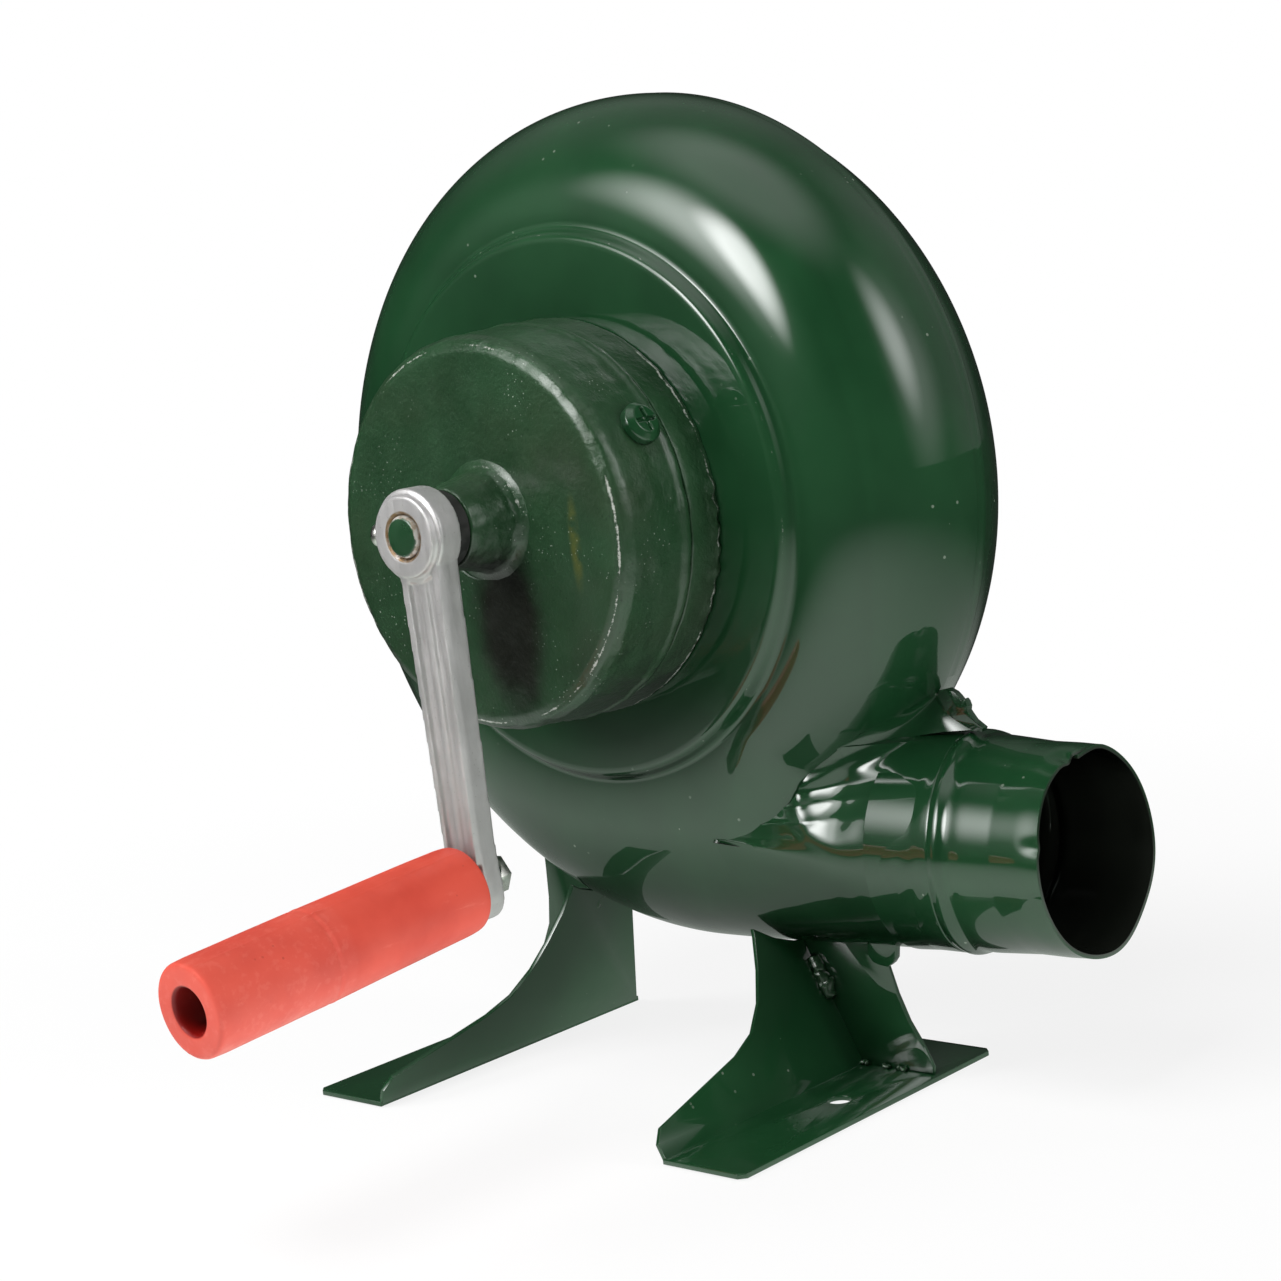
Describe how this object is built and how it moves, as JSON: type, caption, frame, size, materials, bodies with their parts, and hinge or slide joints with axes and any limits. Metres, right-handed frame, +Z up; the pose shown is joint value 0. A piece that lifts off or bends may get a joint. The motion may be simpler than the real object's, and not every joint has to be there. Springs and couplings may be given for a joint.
{
  "type": "hand crank forge blower",
  "caption": "Hand-cranked centrifugal blower with a pressed scroll casing, round outlet pipe, front gearbox, crank with a free-turning grip, and two bent sheet legs.",
  "frame": {"origin": "on the ground, midway between the two foot holes", "axes": "+X towards the outlet, +Y from the crank towards the air inlet, +Z up"},
  "size_m": [0.2691, 0.2498, 0.2955],
  "materials": {
    "sheet_enamel": "glossy",
    "cast_enamel": "glossy, orange peel",
    "cast_aluminium": "satin",
    "red_plastic": "satin",
    "zinc_plate": "satin",
    "bare_steel": "satin",
    "bronze": "satin",
    "black_rubber": "matte"
  },
  "bodies": {
    "frame": {"casing_front": "sheet_enamel", "casing_back": "sheet_enamel", "outlet_pipe": "sheet_enamel", "leg_left": "sheet_enamel", "leg_right": "sheet_enamel", "gusset_left": "sheet_enamel", "gusset_right": "sheet_enamel", "gear_housing": "cast_enamel", "gear_cover": "cast_enamel", "cover_screws": "cast_enamel", "housing_screws": "zinc_plate", "fan_bearings": "bare_steel", "crank_bush": "bronze", "idler_post": "bare_steel", "idler_clip": "bare_steel"},
    "crank": {"crank_shaft": "cast_enamel", "crank_gear": "bare_steel", "thrust_washer": "black_rubber", "crank_arm": "cast_aluminium", "set_screw": "zinc_plate", "handle_bolt": "zinc_plate", "handle_nut": "zinc_plate"},
    "hand_grip": {"grip": "red_plastic"},
    "idler": {"idler_gear": "bare_steel", "idler_pinion": "bare_steel"},
    "fan": {"fan_shaft": "bare_steel", "fan_pinion": "bare_steel", "shaft_spacer": "bare_steel", "impeller_disc": "zinc_plate", "impeller_hub": "zinc_plate", "impeller_blades": "zinc_plate", "impeller_nut": "zinc_plate"}
  },
  "joints": [
    {"name": "crank_spin", "type": "hinge", "parent": "frame", "child": "crank", "pos_m": [0.0011, -0.06, 0.178], "axis": [0, 1, 0], "continuous": true},
    {"name": "grip_spin", "type": "hinge", "parent": "crank", "child": "hand_grip", "pos_m": [0.00752, -0.073, 0.07871], "axis": [-0.0327, -0.9956, -0.0877], "continuous": true},
    {"name": "idler_spin", "type": "hinge", "parent": "frame", "child": "idler", "pos_m": [-0.02249, -0.028, 0.15492], "axis": [0, 1, 0], "continuous": true},
    {"name": "fan_spin", "type": "hinge", "parent": "frame", "child": "fan", "pos_m": [-0.0035, 0, 0.1755], "axis": [0, 1, 0], "continuous": true}
  ],
  "couplings": [
    {"joint": "idler_spin", "follows": "crank_spin", "ratio": -4.5},
    {"joint": "fan_spin", "follows": "crank_spin", "ratio": 16.5}
  ]
}
